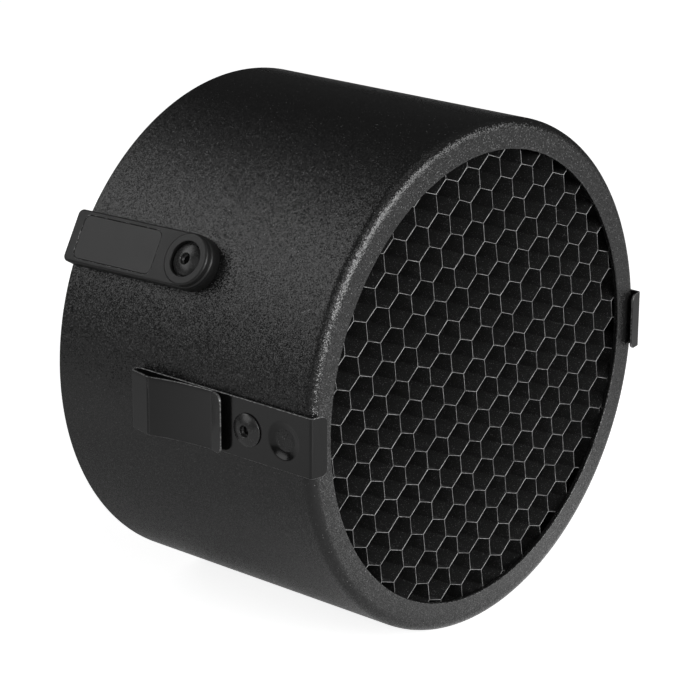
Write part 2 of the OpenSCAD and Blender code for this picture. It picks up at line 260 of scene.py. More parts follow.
groove_r = BORE_R + GROOVE_DEPTH
tube_section = rounded_outline(
    [
        (TUBE_R, TUBE_L),
        (TUBE_R, 0),
        (APERTURE_R, 0),
        (APERTURE_R, SHEET),
        (BORE_R, SHEET),
        (BORE_R, RING_U - GROOVE_HALF_MOUTH),
        (groove_r, RING_U - GROOVE_HALF_FLOOR),
        (groove_r, RING_U + GROOVE_HALF_FLOOR),
        (BORE_R, RING_U + GROOVE_HALF_MOUTH),
        (BORE_R, TUBE_L),
    ],
    [RIM_ROUND, LIP_ROUND, LIP_EDGE_R, LIP_EDGE_R, LIP_ROUND - SHEET]
    + [GROOVE_ROUND] * 4
    + [RIM_ROUND],
    steps=8,
)
coat = powder_coat()
finish_piece(surface("tube", turned(tube_section, 288)), coat, "snoot", "coat", "barrel")

# The honeycomb grid: ribbons of black foil, glued in stripes and pulled open to 8 mm cells,
# 22 mm deep, then cut to a disc. The cut edges of the foil are bare, the glued walls double.
GRID_FRONT, GRID_DEPTH, GRID_R = SHEET, 22.0, 60.75
CELL_PITCH, CELL_BEND, FOIL_T, GLUE_T = 8.0, 0.35, 0.085, 0.01
RIBBON_TURN, GRID_SHIFT = 40.4, (-1.5, 0.9)
RIBBON_ROWS, RIBBON_COLUMNS = range(-9, 9), range(-11, 12)
NOTCH_R, NOTCH_W = 57.0, 8.4
SHEAR, SHEAR_TURN, BOW_AT = 0.028, RIBBON_TURN - 60, 50
TRIM_STEP, SHORTEST_RUN = 0.1, 6


def several_surfaces(name, grids):
    """One flat-shaded mesh of several grids of points in millimetres, each of them closed
    round and capped at its two ends."""
    points, faces, start = [], [], 0
    for grid in grids:
        rows, cols = grid.shape[:2]
        index = start + np.arange(rows * cols).reshape(rows, cols)
        around = np.roll(index, -1, 1)
        quads = np.stack([index[:-1], around[:-1], around[1:], index[1:]], -1)
        faces += quads.reshape(-1, 4).tolist() + [index[0, ::-1].tolist(), index[-1].tolist()]
        points.append(grid.reshape(-1, 3) / 1000)
        start += rows * cols
    mesh = bpy.data.meshes.new(name)
    mesh.from_pydata(np.concatenate(points).tolist(), [], faces)
    work = bmesh.new()
    work.from_mesh(mesh)
    bmesh.ops.recalc_face_normals(work, faces=work.faces)
    work.to_mesh(mesh)
    work.free()
    piece = bpy.data.objects.new(name, mesh)
    bpy.context.scene.collection.objects.link(piece)
    return piece


def rotated(x, z, degrees):
    """Points turned by an angle a: (x cos a - z sin a, x sin a + z cos a)."""
    c, s = math.cos(math.radians(degrees)), math.sin(math.radians(degrees))
    return x * c - z * s, x * s + z * c


def pulled_open(x, z):
    """How the foil really opened: the even pattern (x, z) sheared and, 50 mm from its middle,
    bowed a quarter of a millimetre, with small waves b sin(x / c) sin(z / c) cell by cell."""
    x, z = rotated(x, z, -SHEAR_TURN)
    u, v = x / BOW_AT, z / BOW_AT
    x, z = (
        x + SHEAR * z - 0.28 * u * u - 0.10 * u * v - 0.13 * v * v,
        z + 0.13 * u * u - 0.26 * u * v + 0.04 * v * v,
    )
    x, z = (
        x + 0.07 * np.sin(x / 2.9 + 1.0) * np.sin(z / 3.7) + 0.05 * np.sin(x / 7.3 - z / 5.1),
        z + 0.07 * np.sin(x / 3.3) * np.sin(z / 2.7 + 2.0) + 0.05 * np.sin(x / 6.1 + z / 8.3),
    )
    x, z = rotated(x, z, SHEAR_TURN)
    return np.stack([x + GRID_SHIFT[0], z + GRID_SHIFT[1]], 1)


def ribbon_path(row, side):
    """One ribbon's wave: flat stretches as long as a cell's side, half a pitch apart by turns
    and joined by slopes at 60 degrees, with its corners cut. side -1 or 1 says on which side
    of the glue its flats lie."""
    cell_side = CELL_PITCH / math.sqrt(3)
    columns = np.array(RIBBON_COLUMNS)
    odd = columns % 2
    level = CELL_PITCH * (row + 0.5 + odd * side / 2)
    level = level + (FOIL_T + GLUE_T) / 2 * side * np.where(odd == 1, -1, 1)
    reach = cell_side / 2
    along = 1.5 * cell_side * columns[:, None] + np.array([-reach, 0.0, reach])
    flats = np.stack([along, np.repeat(level[:, None], 3, 1)], -1)
    slope = (flats[1:, 0] - flats[:-1, 2]) / cell_side
    before, after = flats[:-1, 2], flats[1:, 0]
    cut = CELL_BEND / 2
    unit = np.array([1.0, 0.0])
    corner = [before - cut * unit, before + cut * slope, (before + after) / 2]
    corner += [after - cut * slope, after + cut * unit]
    points = np.stack([flats[:-1, 1], *corner], 1).reshape(-1, 2)
    return pulled_open(*rotated(points[:, 0], points[:, 1], RIBBON_TURN))


def on_the_disc(path):
    """Runs of a path that lie on the disc and clear of the notches, cut where they cross an
    edge, to a tenth of the way between two of its points. The shortest scraps are left out."""
    spots = np.arange(0, len(path) - 1, TRIM_STEP)
    fine = np.stack([np.interp(spots, np.arange(len(path)), path[:, k]) for k in (0, 1)], 1)
    kept = np.hypot(*fine.T) < GRID_R
    kept &= ~((np.abs(fine[:, 0]) > NOTCH_R) & (np.abs(fine[:, 1]) < NOTCH_W / 2))
    edges = np.flatnonzero(np.diff(np.concatenate([[0], kept.astype(int), [0]])))
    runs = []
    for first, last in edges.reshape(-1, 2):
        if last - first > SHORTEST_RUN:
            low, high = spots[first] + TRIM_STEP / 2, spots[last - 1] - TRIM_STEP / 2
            inner = np.arange(math.ceil(low), high).astype(int)
            run = [fine[first : first + 1], path[inner], fine[last - 1 : last]]
            runs.append(np.concatenate(run))
    return runs


def ribbon(run):
    """A run with its thickness and depth: the path moved by half the foil's thickness along
    its normal to either side, at the front face and at the back."""
    way = np.gradient(run, axis=0)
    way /= np.linalg.norm(way, axis=1, keepdims=True)
    normal = np.stack([-way[:, 1], way[:, 0]], 1) * FOIL_T / 2
    y = GRID_FRONT - TUBE_L + 0 * run[:, :1]
    corners = []
    for sign, deep in ((1, 0), (1, GRID_DEPTH), (-1, GRID_DEPTH), (-1, 0)):
        face = run + sign * normal
        corners.append(np.concatenate([face[:, :1], y + deep, face[:, 1:]], 1))
    return np.stack(corners, 1)


def foil(front, back):
    """Black stained foil whose cut edges, within some 0.04 mm of the grid's two faces, stay
    pale, and whose walls hold a fine dust, most of it near the front."""
    foil_black = Finish("honeycomb_foil", IOR=1.5)
    place = foil_black.place()
    along = foil_black.node("ShaderNodeSeparateXYZ", {}, {0: place}, output=1)
    cut_front = 1 - along.ramp(front + 0.02, front + 0.06)
    cut_back = along.ramp(back - 0.06, back - 0.02)
    cut = cut_front.math("MAXIMUM", cut_back)
    streaks = foil_black.noise(place, 1.6, 2.0)
    near = 1 - along.ramp(front + 1.0, front + 12.0)
    dust = foil_black.noise(place, 0.26, 1.0).ramp(0.64, 0.72) * (near * 0.8 + 0.2)
    wall = foil_black.mix(dust, grey(0.020), grey(0.26))
    edge = foil_black.mix(streaks.ramp(0.3, 0.7), grey(0.22), grey(0.44))
    foil_black.set("Base Color", foil_black.mix(cut, wall, edge))
    foil_black.set("Metallic", cut * 0.5)
    foil_black.set("Roughness", streaks * 0.2 + 0.38)
    foil_black.set("Normal", foil_black.bump(streaks, 0.04))
    return foil_black


ribbons = [
    ribbon(run)
    for row in RIBBON_ROWS
    for side in (-1, 1)
    for run in on_the_disc(ribbon_path(row, side))
]
grid = several_surfaces("honeycomb_ribbons", ribbons)
foil_black = foil(GRID_FRONT - TUBE_L, GRID_FRONT - TUBE_L + GRID_DEPTH)
finish_piece(grid, foil_black, "snoot", "honeycomb", "honeycomb_grid")

# The retaining ring: 2.4 mm spring wire, bent to an open ring that snaps into the groove in
# the tube and presses the grid against the lip.
RING_R, RING_WIRE_R, RING_GAP = 61.25, 1.2, 16.0


def wire_ring(radius, wire_r, gap, steps=240, sides=24):
    """Wire along an open arc with domed ends. The circle (r + w s cos b, w s sin b) is carried
    round the arc's angle a, and over the last w of the arc it closes in by s = sin(e) while a
    moves by w (1 - cos(e)) / r, with e from 0 at the tip to 90 degrees. The gap is at the top."""
    e = np.linspace(0, np.pi / 2, 7)[:-1]
    start, end = math.radians(90 + gap / 2), math.radians(450 - gap / 2)
    tip = wire_r / radius
    a = np.concatenate(
        [
            start + tip * (1 - np.cos(e)),
            np.linspace(start + tip, end - tip, steps),
            end - tip * (1 - np.cos(e[::-1])),
        ]
    )[:, None]
    closing = np.concatenate([np.sin(e), np.ones(steps), np.sin(e[::-1])])[:, None]
    b = np.linspace(0, 2 * np.pi, sides, endpoint=False)
    r = radius + wire_r * closing * np.cos(b)
    y = wire_r * closing * np.sin(b) + RING_U - TUBE_L
    return np.stack([r * np.cos(a), y, r * np.sin(a)], -1)


def oiled_wire():
    """Oiled spring wire: bare grey steel with faint marks of drawing."""
    wire = Finish("spring_wire", Metallic=1.0)
    place = wire.place()
    drawn = wire.noise(place, 0.6, 3.0)
    wire.set("Base Color", wire.mix(drawn, grey(0.10), grey(0.20)))
    wire.set("Roughness", drawn * 0.2 + 0.28)
    wire.set("Normal", wire.bump(drawn, 0.01))
    return wire


wire_steel = oiled_wire()
finish_piece(
    surface("retaining_ring_wire", wire_ring(RING_R, RING_WIRE_R, RING_GAP), along=False),
    wire_steel,
    "snoot",
    "wire",
    "grid_retaining_ring",
)

# The side clips: one strip of 0.55 mm spring steel each, hooked over the lip, dimpled, riveted,
# folded back in a hairpin and bowed into a leaf. The finish is satin black with worn edges.
STRIP_T, STRIP_W, EDGE_R = 0.55, 14.5, 0.13
SEAT_GAP = 0.05
STRIP_IN = TUBE_R + SEAT_GAP
STRIP_MID, STRIP_OUT = STRIP_IN + STRIP_T / 2, STRIP_IN + STRIP_T
HOOK_REACH, HOOK_L, HOOK_LEAN, HOOK_BEND = 1.15, 4.6, 10.0, 0.4
CORNER_R, FINE_TO_U = 1.8, 13.0
DIMPLE_U, DIMPLE_R, DIMPLE_DEPTH = 7.3, 4.65, 1.0
HAIRPIN_U, HAIRPIN_R = 52.6, 1.41
RAMP_RISE, CREST_H = 12.0, 3.5
LEAF_FALL, LEAF_LOW = 17.5, 0.75
FLARE_L, FLARE_RISE = 4.3, 20.0


def steps_along(length, step):
    """Shares from 0 to 1 of a length, about a step apart."""
    return np.linspace(0, 1, max(2, int(round(length / step)) + 1))


def line(start, end, step=0.3):
    """Points from start to end: start + s (end - start)."""
    start, end = np.asarray(start, float), np.asarray(end, float)
    return start + steps_along(np.linalg.norm(end - start), step)[:, None] * (end - start)


def arc(centre, r, start, end, step=0.12):
    """Points on an arc from one angle to another: centre + r (cos a, sin a)."""
    a = np.radians(start + (end - start) * steps_along(abs(math.radians(end - start)) * r, step))
    return np.asarray(centre, float) + r * np.stack([np.cos(a), np.sin(a)], 1)


def joined(*runs):
    """Runs of points joined to one path, each point that repeats left out."""
    path = np.concatenate(runs)
    step = np.linalg.norm(np.diff(path, axis=0), axis=1)
    return path[np.concatenate([[True], step > 1e-4])]


def square_ends(path, corner, first, last):
    """Extra points by the ends of a path, where its section closes in, and how far it does.

    At a distance s < r from an end, with r the edge's rounding, the section draws in by
    r - sqrt(r^2 - (r - s)^2) all round, and within corner of it the width alone draws in by
    the same rule. first and last say which ends are free.
    """
    length = np.concatenate([[0], np.cumsum(np.linalg.norm(np.diff(path, axis=0), axis=1))])
    close = EDGE_R * (1 - np.cos(np.linspace(0, np.pi / 2, 5)))
    wide = corner * (1 - np.cos(np.linspace(0, np.pi / 2, 16))) if corner else []
    extra = np.concatenate([close, [EDGE_R + 0.03], wide])
    s = [length[1:-1]]
    s.append(extra if first else [0.0])
    s.append(length[-1] - extra if last else [length[-1]])
    s = np.unique(np.round(np.concatenate(s), 6))

    def at(s):
        return np.stack([np.interp(s, length, path[:, k]) for k in (0, 1)], 1)

    way = at(s + 0.02) - at(s - 0.02)
    way /= np.linalg.norm(way, axis=1, keepdims=True)
    far = np.full_like(s, 1e3)
    end = np.minimum(s if first else far, length[-1] - s if last else far)

    def draw(radius):
        if not radius:
            return np.zeros_like(end)
        inside = np.clip(radius - end, 0, radius)
        return radius - np.sqrt(radius**2 - inside**2)

    return at(s), np.stack([-way[:, 1], way[:, 0]], 1), draw(EDGE_R), draw(corner)


def strip_section(across):
    """Half turn by half turn round a flat strip with rounded edges: (z, h), and its wear, 1
    on the edges. across are the places of its points over the width, from -1 to 1."""
    half_w, half_t = STRIP_W / 2, STRIP_T / 2
    a = np.radians(np.linspace(-90, 90, 9))[1:-1]
    flat = half_w - EDGE_R
    z = np.concatenate([flat * across, flat + EDGE_R * np.cos(a)])
    round_edge = (half_t - EDGE_R) * np.sign(a) + EDGE_R * np.sin(a)
    h = np.concatenate([np.full(len(across), -half_t), round_edge])
    worn = np.concatenate([np.zeros(len(across)), np.ones(len(a))])
    worn[[0, len(across) - 1]] = 0.6
    return np.concatenate([z, -z]), np.concatenate([h, -h]), np.concatenate([worn, worn])


def strip_surface(path, across, corner=0.0, first=True, last=True, dent=None):
    """A strip carried along a path in the plane of radius and u, and the wear of its points.

    With n the path's normal, a point (z, h) of the section goes to (path + n h, z), and the
    draw of an end takes off |z| and |h| alike. dent moves points along the radius.
    """
    spot, normal, close, narrow = square_ends(path, corner, first, last)
    close, narrow = close[:, None], narrow[:, None]
    z, h, worn = strip_section(across)
    z = z * (1 - (close + narrow) / (STRIP_W / 2))
    h = h * (1 - close / (STRIP_T / 2))
    r = spot[:, :1] + normal[:, :1] * h
    u = spot[:, 1:] + normal[:, 1:] * h
    if dent is not None:
        r = r + dent(z, u)
    rim = np.clip(close / EDGE_R + np.clip(narrow / 0.8, 0, 1) * worn, 0, 1)
    return np.stack([r, u - TUBE_L, z], -1), np.maximum(worn, rim * 0.9)


def dimple(z, u):
    """A pressed bowl: -depth (1 - (d / R)^2) at the distance d from its centre, 0 past the rim."""
    return -DIMPLE_DEPTH * np.clip(1 - (z**2 + (u - DIMPLE_U) ** 2) / DIMPLE_R**2, 0, 1)


hook_r = HOOK_BEND + STRIP_T / 2
hook_corner = (HOOK_BEND + STRIP_T) * math.tan(math.radians(90 - HOOK_LEAN) / 2)
hook_centre = np.array([STRIP_MID - hook_r, hook_corner - HOOK_REACH])
hook_start = arc(hook_centre, hook_r, 0, HOOK_LEAN - 90)[-1]
hook_way = np.array([-math.cos(math.radians(HOOK_LEAN)), -math.sin(math.radians(HOOK_LEAN))])
hook_end = hook_start + hook_way * (HOOK_L - hook_corner)
hairpin = np.array([STRIP_IN + HAIRPIN_R, HAIRPIN_U])
hairpin_mid = HAIRPIN_R - STRIP_T / 2
ramp = math.radians(RAMP_RISE)
ramp_start = hairpin + hairpin_mid * np.array([math.cos(ramp), math.sin(ramp)])
crest_r = STRIP_OUT + CREST_H - STRIP_T / 2
crest = ramp_start + (crest_r - ramp_start[0]) / math.sin(ramp) * np.array(
    [math.sin(ramp), -math.cos(ramp)]
)
fall = math.radians(LEAF_FALL)
leaf_low = STRIP_OUT + LEAF_LOW
leaf_r = (crest_r - leaf_low + STRIP_T / 2 * math.cos(fall)) / (1 - math.cos(fall))
leaf_centre = np.array([leaf_low + leaf_r, crest[1] - (leaf_r + STRIP_T / 2) * math.sin(fall)])
flare_start = np.array([leaf_low - STRIP_T / 2, leaf_centre[1]])
flare = math.radians(FLARE_RISE)
flare_end = flare_start + FLARE_L * np.array([math.sin(flare), -math.cos(flare)])

base_path = joined(
    line(hook_end, hook_start),
    arc(hook_centre, hook_r, HOOK_LEAN - 90, 0),
    line((STRIP_MID, hook_centre[1]), (STRIP_MID, FINE_TO_U), 0.22),
    line((STRIP_MID, FINE_TO_U), (STRIP_MID, HAIRPIN_U), 2.0),
    arc(hairpin, hairpin_mid, 180, 140),
)
bend_path = joined(
    arc(hairpin, hairpin_mid, 180, RAMP_RISE),
    line(ramp_start, crest, 0.4),
)
leaf_path = joined(
    arc(leaf_centre, leaf_r + STRIP_T / 2, 180 - LEAF_FALL, 180, 0.5),
    line(flare_start, flare_end, 0.4),
)


def spring_steel():
    """Satin black spring steel: faintly smeared, with edges that are worn paler in patches."""
    steel = Finish("clip_steel", IOR=1.5)
    place = steel.place()
    smear = steel.noise(place, 3.5, 3.0)
    fine = steel.noise(place, 0.35, 2.0)
    worn = steel.node("ShaderNodeAttribute", {"attribute_name": "edge"}, output="Fac")
    patch = steel.noise(place, 0.9, 2.0).ramp(0.35, 0.6)
    bare = worn.ramp(0.55, 0.95) * (patch * 0.6 + 0.15)
    steel.set("Base Color", steel.mix(bare, grey(0.006), grey(0.30)))
    steel.set("Metallic", bare * 0.8)
    steel.set("Roughness", smear * 0.06 + fine * 0.04 + 0.11 + bare * 0.2)
    steel.set("Normal", steel.bump(fine * 0.15 + smear * 0.5, 0.02))
    return steel


steel = spring_steel()
fine_across, coarse_across = np.linspace(-1, 1, 61), np.linspace(-1, 1, 15)
base_strip = strip_surface(base_path, fine_across, CORNER_R, last=False, dent=dimple)
bend_strip = strip_surface(bend_path, coarse_across, first=False, last=False)
leaf_strip = strip_surface(leaf_path, coarse_across, CORNER_R, first=False)
for side, sign in (("left", -1), ("right", 1)):
    for part, body, made in (
        ("base", "snoot", base_strip),
        ("bend", side + "_bend", bend_strip),
        ("leaf", side + "_leaf", leaf_strip),
    ):
        points, worn = made
        strip = surface(
            f"{side}_clip_{part}_strip",
            points * np.array([sign, 1, 1]),
            along=False,
            caps=True,
            edge=worn,
        )
        finish_piece(strip, steel, body, "clip_steel", f"{side}_clip_{part}")

# The rivets: 4 mm blind rivets with black domed heads. Each keeps the broken end of its
# mandrel in its bore, and its tail is pulled tight against the inside of the tube.
RIVET_R, HEAD_R, HEAD_H, HEAD_EDGE = 2.0, 4.05, 1.5, 0.45
HEAD_BORE_R, HEAD_LIP_R, HEAD_RIM_R, TAIL_R, TAIL_L = 1.35, 0.25, 0.24, 2.9, 3.0
MANDREL_R, MANDREL_SUNK, MANDREL_HEAD_R, MANDREL_HEAD_L = 1.1, 1.3, 1.85, 1.4
CLIP_RIVET_U = 18.4
TAIL_SEAT = math.sqrt(BORE_R**2 - TAIL_R**2) - 0.04


def on_radius(outline, steps, seat, u, angle):
    """Surface of revolution about a radius of the tube: (r, h) goes to height seat + h along
    the radius and to r (cos a, sin a) across it, at the distance u and the angle given."""
    a = np.linspace(0, 2 * np.pi, steps, endpoint=False)[None]
    r, h = outline[:, 0][:, None], outline[:, 1][:, None] + seat
    x, z = rotated(h + 0 * a, r * np.sin(a), angle)
    return np.stack([x, r * np.cos(a) + u - TUBE_L, z], -1)


def turn_of_edge(centre, radius, start, end, count):
    """So many points round an edge: centre + radius (cos a, sin a), with a from start to end."""
    a = np.radians(np.linspace(start, end, count))
    return np.array(centre) + radius * np.stack([np.cos(a), np.sin(a)], 1)


def rivet_outline(grip):
    """Half section of the rivet as (r, h): the dome is h = H - R + sqrt(R^2 - r^2), and the
    corners at the bore, the head's edge and the tail are rounded."""
    cap = HEAD_H - HEAD_EDGE
    big = (HEAD_R**2 + cap**2) / (2 * cap)
    r = np.linspace(HEAD_BORE_R + HEAD_LIP_R, HEAD_R - 0.2, 24)
    dome = np.stack([r, HEAD_H - big + np.sqrt(big**2 - r**2)], 1)
    lip_at = (HEAD_BORE_R + HEAD_LIP_R, dome[0, 1] - HEAD_LIP_R)
    lip = turn_of_edge(lip_at, HEAD_LIP_R, 180, 100, 7)
    rim = turn_of_edge((HEAD_R - HEAD_RIM_R, HEAD_EDGE / 2 + 0.04), HEAD_RIM_R, 60, -60, 9)
    underside = [[HEAD_R - 0.3, 0.0], [RIVET_R, 0.0]]
    tail = rounded_outline(
        [(RIVET_R, -grip), (TAIL_R, -grip), (TAIL_R, -grip - TAIL_L), (MANDREL_R, -grip - TAIL_L)],
        [0.05, 0.8, 0.8, 0.1],
    )
    bore = [[MANDREL_R, HEAD_H - MANDREL_SUNK], [HEAD_BORE_R, HEAD_H - MANDREL_SUNK]]
    return np.concatenate([lip, dome, rim, underside, tail, bore])


def mandrel_outline(grip):
    """Half section of what stays of the mandrel as (r, h): a neck that broke a little hollow,
    and past the rivet's tail the mandrel's own head."""
    top, foot = HEAD_H - MANDREL_SUNK, -grip - TAIL_L
    end = foot - MANDREL_HEAD_L
    r = np.linspace(0, MANDREL_R - 0.12, 8)
    face = np.stack([r, top - 0.25 + 0.25 * (r / MANDREL_R) ** 2], 1)
    rest = np.array(
        [
            [MANDREL_R - 0.02, top - 0.06],
            [MANDREL_R, top - 0.2],
            [MANDREL_R, foot - 0.001],
            [MANDREL_HEAD_R - 0.1, foot - 0.001],
            [MANDREL_HEAD_R, foot - 0.1],
            [MANDREL_HEAD_R, end + 0.6],
            [MANDREL_HEAD_R - 0.15, end + 0.3],
            [MANDREL_HEAD_R - 0.55, end + 0.05],
            [MANDREL_HEAD_R - 0.8, end],
            [0, end],
        ]
    )
    return np.concatenate([face, rest])


def rivet_black():
    """Black oxide on the rivet's head: satin and faintly mottled."""
    black = Finish("rivet_black", IOR=1.6)
    place = black.place()
    mottle = black.noise(place, 0.5, 3.0)
    black.set("Base Color", black.mix(mottle, grey(0.02), grey(0.06)))
    black.set("Metallic", 0.4)
    black.set("Roughness", mottle * 0.12 + 0.20)
    black.set("Normal", black.bump(mottle, 0.015))
    return black


def broken_steel():
    """The mandrel's torn end: dark and rough."""
    steel = Finish("mandrel_steel", Metallic=1.0)
    place = steel.place()
    torn = steel.noise(place, 0.25, 3.0)
    steel.set("Base Color", steel.mix(torn, grey(0.004), grey(0.02)))
    steel.set("Roughness", torn * 0.2 + 0.6)
    steel.set("Normal", steel.bump(torn, 0.08))
    return steel


black_oxide, mandrel_steel = rivet_black(), broken_steel()


def set_rivet(name, node, mandrel_node, seat, u, angle):
    """A rivet and its mandrel at the distance u and the angle given. seat is the radius that
    the head sits on, and the grip is from there to the tail."""
    grip = seat - TAIL_SEAT
    head = surface(name, on_radius(rivet_outline(grip), 72, seat, u, angle))
    finish_piece(head, black_oxide, "snoot", "rivet", node)
    pin = surface(
        name + "_pin", on_radius(mandrel_outline(grip), 36, seat, u, angle), along=False
    )
    finish_piece(pin, mandrel_steel, "snoot", "mandrel", mandrel_node)


set_rivet("right_rivet", "right_clip_rivet", "right_rivet_mandrel", STRIP_OUT, CLIP_RIVET_U, 0)
set_rivet("left_rivet", "left_clip_rivet", "left_rivet_mandrel", STRIP_OUT, CLIP_RIVET_U, 180)

# The name tab: a moulded plastic block, round at its rivet and square at the rear, with a
# raised boss round the rivet and a sunk panel for the label. It is curved to the tube below.
TAB_ANGLE, TAB_TURN = 149.3, 1.5
TAB_W, TAB_RIVET_U, TAB_OVERHANG, TAB_H = 13.3, 42.8, 0.6, 3.2
TAB_EDGE, TAB_CORNER = 0.6, 1.5
BOSS_H, BOSS_R, BOSS_ROOT, SEAT_R, HEAD_PROUD, RIVET_PLAY = 1.5, 6.4, 1.2, 4.35, 0.2, 0.05
LABEL_L, LABEL_W, LABEL_CORNER, LABEL_T = 25.2, 10.8, 1.7, 0.3
LABEL_SUNK, LABEL_GAP, LABEL_END, PANEL_EDGE = 0.12, 0.12, 3.0, 0.1
tab_face, boss_face = TUBE_R + TAB_H, TUBE_R + TAB_H + BOSS_H
tab_reach = TAB_OVERHANG + TUBE_L - TAB_RIVET_U
head_seat = boss_face + HEAD_PROUD - HEAD_H
label_y = tab_reach - LABEL_END - LABEL_L / 2
label_floor = tab_face - LABEL_SUNK - LABEL_T


def on_tab(points):
    """Turns points drawn at +X, with the rivet at y = 0, by the tab's turn on its rivet and
    then round the tube to the tab's angle."""
    y, z = rotated(points[..., 1], points[..., 2], TAB_TURN)
    x, z = rotated(points[..., 0], z, TAB_ANGLE)
    return np.stack([x, y + TAB_RIVET_U - TUBE_L, z], -1)


def level_ring(corners, radii, height):
    """A closed outline of (y, z) with rounded corners, laid at a height along x."""
    outline = rounded_outline(corners, radii, steps=20, guard=1e-3)
    return np.concatenate([np.full((len(outline), 1), height), outline], 1)


def tab_ring(inset, height):
    """The tab's outline drawn in by inset, at a height: a rectangle whose two front corners are
    as round as it is wide."""
    w, rear, corner = TAB_W / 2 - inset, tab_reach - inset, TAB_CORNER - inset
    radii = [w - 1e-3, w - 1e-3, corner, corner]
    return level_ring([(-w, w), (-w, -w), (rear, -w), (rear, w)], radii, height)


def panel_ring(inset, height):
    """The label panel's outline drawn in by inset, with its corners in the tab's order."""
    reach, w = LABEL_L / 2 + LABEL_GAP - inset, LABEL_W / 2 + LABEL_GAP - inset
    front, rear = label_y - reach, label_y + reach
    corner = LABEL_CORNER + LABEL_GAP - inset
    return level_ring([(front, w), (front, -w), (rear, -w), (rear, w)], [corner] * 4, height)


def on_tube(ring):
    """A ring let down on the tube: x = sqrt(R^2 - z^2), R being the tube's radius and a gap."""
    return np.stack([np.sqrt((TUBE_R + SEAT_GAP) ** 2 - ring[:, 2] ** 2), *ring[:, 1:].T], 1)


def tab_body():
    """Outlines stacked from the middle of the curved underside, up the wall, over the rounded
    edge, across the face, and over the panel's edge to its floor. Only that edge is worn."""
    foot, middle = tab_ring(0, 0), tab_reach / 2
    rings = []
    for share in (0.02, 0.35, 0.7, 0.97):
        ring = foot * np.array([1, 1, share])
        ring[:, 1] = middle + (foot[:, 1] - middle) * (0.5 + 0.5 * share)
        rings.append(on_tube(ring))
    rings.append(on_tube(foot) + np.array([0.03, 0, 0]))
    rings.append(tab_ring(0, tab_face - TAB_EDGE - 0.03))
    for a in np.radians(np.linspace(0, 90, 8)):
        inset, drop = TAB_EDGE * (1 - math.cos(a)), TAB_EDGE * (1 - math.sin(a))
        rings.append(tab_ring(inset, tab_face - drop))
    rings.append(tab_ring(TAB_EDGE + 0.03, tab_face))
    rings.append(panel_ring(-PANEL_EDGE - 0.04, tab_face))
    worn = [0.0] * len(rings)
    for a in np.radians(np.linspace(0, 90, 5)):
        inset, drop = -PANEL_EDGE * (1 - math.sin(a)), PANEL_EDGE * (1 - math.cos(a))
        rings.append(panel_ring(inset, tab_face - drop))
        worn.append(1.0)
    rings += [panel_ring(0, label_floor + 0.02), panel_ring(0.02, label_floor)]
    worn += [0.3, 0.0]
    return on_tab(np.array(rings)), np.array(worn)[:, None]


boss_section = rounded_outline(
    [
        (SEAT_R, head_seat),
        (SEAT_R, boss_face),
        (BOSS_R, boss_face),
        (BOSS_R, tab_face - BOSS_ROOT),
        (RIVET_R + RIVET_PLAY, tab_face - BOSS_ROOT),
        (RIVET_R + RIVET_PLAY, head_seat),
    ],
    [0.05, 0.18, 0.55, 0.1, 0.05, 0.05],
    steps=8,
)


def boss_points(outline, steps=96):
    """The boss turned about the tab's rivet: (r, h) goes to (h, r cos a, r sin a)."""
    a = np.linspace(0, 2 * np.pi, steps, endpoint=False)[None]
    r, h = outline[:, 0][:, None], outline[:, 1][:, None]
    return on_tab(np.stack([h + 0 * a, r * np.cos(a), r * np.sin(a)], -1))


def moulded_black():
    """Black moulded plastic: a fine even sheen, scuffed pale in specks on the panel's edge."""
    plastic = Finish("tab_plastic", IOR=1.46)
    place = plastic.place()
    fine = plastic.noise(place, 0.25, 2.0)
    cloud = plastic.noise(place, 5.0, 2.0)
    worn = plastic.node("ShaderNodeAttribute", {"attribute_name": "edge"}, output="Fac")
    specks = plastic.noise(place, 0.9, 3.0, 0.7).ramp(0.50, 0.60)
    plastic.set("Base Color", plastic.mix(worn * specks, grey(0.009), grey(0.22)))
    plastic.set("Roughness", cloud * 0.12 + 0.36)
    plastic.set("Normal", plastic.bump(fine, 0.012))
    return plastic


tab_plastic = moulded_black()
tab_points, tab_worn = tab_body()
tab = surface("tab_block", tab_points, along=False, caps=True, edge=tab_worn)
finish_piece(tab, tab_plastic, "snoot", "tab", "name_tab")
boss = surface("tab_boss", boss_points(boss_section), edge=0.0)
finish_piece(boss, tab_plastic, "snoot", "tab", "name_tab")
set_rivet("tab_rivet_head", "tab_rivet", "tab_rivet_mandrel", head_seat, TAB_RIVET_U, TAB_ANGLE)

# The label: a thin plate of black plastic with rounded corners and edges, glued to the floor
# of the tab's panel a little below its face, and left blank.
LABEL_EDGE, GLUE_LINE = 0.06, 0.005


def label_plate():
    """Rounded rectangles stacked from the panel's floor, over a fine rounded edge, to the face."""
    a = np.radians(np.linspace(0, 90, 5))
    edge = np.stack([LABEL_EDGE * (1 - np.cos(a)), LABEL_T - LABEL_EDGE * (1 - np.sin(a))], 1)
    section = [(0.0, 0.0), (0.0, LABEL_T - 0.08), *edge, (0.1, LABEL_T), (1.5, LABEL_T)]
    foot = label_floor + GLUE_LINE
    return on_tab(np.array([panel_ring(LABEL_GAP + inset, foot + h) for inset, h in section]))


def blank_plate():
    """Smooth black plastic with a faint cloud in its sheen."""
    plate = Finish("label_plate", IOR=1.5)
    place = plate.place()
    cloud = plate.noise(place, 4.0, 2.0)
    fine = plate.noise(place, 0.3, 2.0)
    plate.set("Base Color", plate.mix(cloud, grey(0.006), grey(0.012)))
    plate.set("Roughness", cloud * 0.1 + 0.34)
    plate.set("Normal", plate.bump(fine, 0.006))
    return plate


label = surface("label_face", label_plate(), along=False, caps=True)
finish_piece(label, blank_plate(), "snoot", "label", "tab_label")

